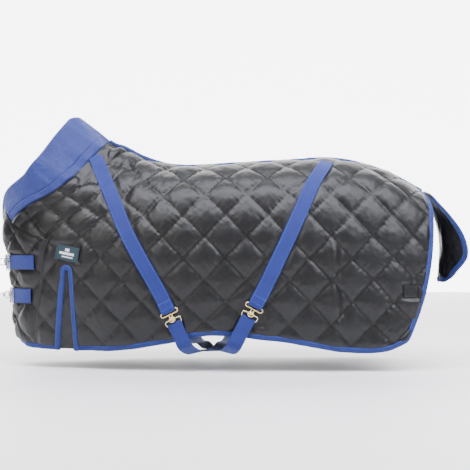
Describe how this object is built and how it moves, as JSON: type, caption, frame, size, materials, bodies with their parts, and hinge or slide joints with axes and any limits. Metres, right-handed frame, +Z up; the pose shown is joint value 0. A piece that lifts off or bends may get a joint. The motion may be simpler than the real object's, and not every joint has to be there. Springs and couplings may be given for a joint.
{
  "type": "horse rug",
  "caption": "Quilted horse rug with padded neck collar, crossed surcingles and belly straps, chest clips, shoulder pleats and a tail flap.",
  "frame": {"origin": "on the topline at the withers, where the collar meets the back of the rug", "axes": "+X towards the tail, +Z up, -Y on the horse's left side"},
  "size_m": [1.6594, 0.5889, 0.8574],
  "materials": {
    "shell": "satin",
    "wadding": "matte",
    "lining": "satin",
    "blue_webbing": "matte",
    "collar_cloth": "matte",
    "label": "matte",
    "nickel_fitting": "polished",
    "brass_fitting": "satin",
    "black_fitting": "matte"
  },
  "bodies": {
    "rug": {"collar_lining": "lining", "left_chest_lining": "lining", "left_chest_padding": "wadding", "left_chest_shell": "shell", "left_edge_binding": "blue_webbing", "left_front_surcingle": "blue_webbing", "left_gusset_binding": "blue_webbing", "left_gusset_panel": "lining", "left_leg_patch": "shell", "left_leg_tab": "blue_webbing", "left_lining": "lining", "left_lower_chest_strap": "blue_webbing", "left_padding": "wadding", "left_rear_surcingle": "blue_webbing", "left_shell": "shell", "left_upper_chest_strap": "blue_webbing", "neck_collar": "collar_cloth", "right_chest_lining": "lining", "right_chest_padding": "wadding", "right_chest_shell": "shell", "right_edge_binding": "blue_webbing", "right_front_surcingle": "blue_webbing", "right_gusset_binding": "blue_webbing", "right_gusset_panel": "lining", "right_leg_patch": "shell", "right_leg_tab": "blue_webbing", "right_lining": "lining", "right_lower_chest_strap": "blue_webbing", "right_padding": "wadding", "right_rear_surcingle": "blue_webbing", "right_shell": "shell", "right_upper_chest_strap": "blue_webbing", "shoulder_label": "label", "spine_binding": "blue_webbing"},
    "tail_flap": {"tail_flap_shell": "shell", "tail_flap_lining": "lining", "tail_flap_binding": "blue_webbing"},
    "front_hook": {"front_hook": "brass_fitting"},
    "rear_hook": {"rear_hook": "brass_fitting"},
    "front_belly_strap": {"front_belly_strap": "blue_webbing"},
    "rear_belly_strap": {"rear_belly_strap": "blue_webbing"},
    "front_strap_adjuster": {"front_strap_adjuster": "black_fitting"},
    "rear_strap_adjuster": {"rear_strap_adjuster": "black_fitting"},
    "front_belly_ring": {"front_belly_ring": "nickel_fitting"},
    "rear_belly_ring": {"rear_belly_ring": "nickel_fitting"},
    "left_upper_chest_slider": {"left_upper_chest_slider": "nickel_fitting"},
    "left_lower_chest_slider": {"left_lower_chest_slider": "nickel_fitting"},
    "right_upper_chest_slider": {"right_upper_chest_slider": "nickel_fitting"},
    "right_lower_chest_slider": {"right_lower_chest_slider": "nickel_fitting"},
    "upper_chest_snap": {"upper_chest_snap": "nickel_fitting"},
    "lower_chest_snap": {"lower_chest_snap": "nickel_fitting"},
    "upper_snap_bolt": {"upper_snap_bolt": "nickel_fitting"},
    "lower_snap_bolt": {"lower_snap_bolt": "nickel_fitting"},
    "upper_chest_ring": {"upper_chest_ring": "nickel_fitting"},
    "lower_chest_ring": {"lower_chest_ring": "nickel_fitting"},
    "left_leg_ring": {"left_leg_ring": "nickel_fitting"},
    "right_leg_ring": {"right_leg_ring": "nickel_fitting"}
  },
  "joints": [
    {"name": "tail_flap_lift", "type": "hinge", "parent": "rug", "child": "tail_flap", "pos_m": [1.122, 0, -0.178], "axis": [0, -1, 0], "range_deg": [0, 90]},
    {"name": "front_hook_swing", "type": "hinge", "parent": "rug", "child": "front_hook", "pos_m": [0.2256, -0.2674, -0.5936], "axis": [-0.8879, 0.1371, -0.4391], "range_deg": [0, 60]},
    {"name": "rear_hook_swing", "type": "hinge", "parent": "rug", "child": "rear_hook", "pos_m": [0.5174, -0.2833, -0.5752], "axis": [-0.8811, -0.0117, 0.4728], "range_deg": [0, 60]},
    {"name": "front_belly_strap_drop", "type": "hinge", "parent": "rug", "child": "front_belly_strap", "pos_m": [0.5174, 0.2833, -0.5752], "axis": [1, 0, 0], "range_deg": [0, 50]},
    {"name": "rear_belly_strap_drop", "type": "hinge", "parent": "rug", "child": "rear_belly_strap", "pos_m": [0.2256, 0.2674, -0.5936], "axis": [1, 0, 0], "range_deg": [0, 50]},
    {"name": "front_belly_ring_swing", "type": "hinge", "parent": "front_belly_strap", "child": "front_belly_ring", "pos_m": [0.24704, -0.26641, -0.63659], "axis": [-0.8879, 0.1371, -0.4391], "range_deg": [0, 8]},
    {"name": "rear_belly_ring_swing", "type": "hinge", "parent": "rear_belly_strap", "child": "rear_belly_ring", "pos_m": [0.49473, -0.28214, -0.61752], "axis": [-0.8811, -0.0117, 0.4728], "range_deg": [0, 8]},
    {"name": "front_adjuster_slide", "type": "slide", "parent": "front_belly_strap", "child": "front_strap_adjuster", "axis": [0.4729, 0.034, 0.8805], "range_m": [-0.005, 0.005]},
    {"name": "rear_adjuster_slide", "type": "slide", "parent": "rear_belly_strap", "child": "rear_strap_adjuster", "axis": [-0.4468, 0.0304, 0.8941], "range_m": [-0.003, 0.005]},
    {"name": "left_upper_slider_slide", "type": "slide", "parent": "rug", "child": "left_upper_chest_slider", "axis": [0.6319, -0.7751, 0], "range_m": [-0.004, 0.004]},
    {"name": "left_lower_slider_slide", "type": "slide", "parent": "rug", "child": "left_lower_chest_slider", "axis": [0.5877, -0.8091, 0], "range_m": [-0.004, 0.004]},
    {"name": "right_upper_slider_slide", "type": "slide", "parent": "rug", "child": "right_upper_chest_slider", "axis": [-0.6319, -0.7751, 0], "range_m": [-0.004, 0.004]},
    {"name": "right_lower_slider_slide", "type": "slide", "parent": "rug", "child": "right_lower_chest_slider", "axis": [-0.5877, -0.8091, 0], "range_m": [-0.004, 0.004]},
    {"name": "upper_snap_swing", "type": "hinge", "parent": "rug", "child": "upper_chest_snap", "pos_m": [-0.36517, -0.02295, -0.43371], "axis": [0, 0, 1], "range_deg": [0, 40]},
    {"name": "upper_bolt_slide", "type": "slide", "parent": "upper_chest_snap", "child": "upper_snap_bolt", "axis": [0, 0, -1], "range_m": [0, 0.005], "stiffness_N_per_m": 60},
    {"name": "upper_chest_ring_swing", "type": "hinge", "parent": "rug", "child": "upper_chest_ring", "pos_m": [-0.36517, 0.02295, -0.43371], "axis": [0, 0, 1], "range_deg": [-35, 0]},
    {"name": "lower_snap_swing", "type": "hinge", "parent": "rug", "child": "lower_chest_snap", "pos_m": [-0.34873, -0.02049, -0.55119], "axis": [0, 0, 1], "range_deg": [0, 40]},
    {"name": "lower_bolt_slide", "type": "slide", "parent": "lower_chest_snap", "child": "lower_snap_bolt", "axis": [0, 0, -1], "range_m": [0, 0.005], "stiffness_N_per_m": 60},
    {"name": "lower_chest_ring_swing", "type": "hinge", "parent": "rug", "child": "lower_chest_ring", "pos_m": [-0.34873, 0.02049, -0.55119], "axis": [0, 0, 1], "range_deg": [-35, 0]},
    {"name": "left_leg_ring_swing", "type": "hinge", "parent": "rug", "child": "left_leg_ring", "pos_m": [1.04264, -0.22315, -0.5539], "axis": [-0.9846, -0.1747, 0], "range_deg": [-60, 0]},
    {"name": "right_leg_ring_swing", "type": "hinge", "parent": "rug", "child": "right_leg_ring", "pos_m": [1.04234, 0.22147, -0.55341], "axis": [0.9848, -0.1737, 0], "range_deg": [-60, 0]}
  ],
  "couplings": [
    {"joint": "rear_belly_strap_drop", "follows": "front_belly_strap_drop", "ratio": 1}
  ]
}
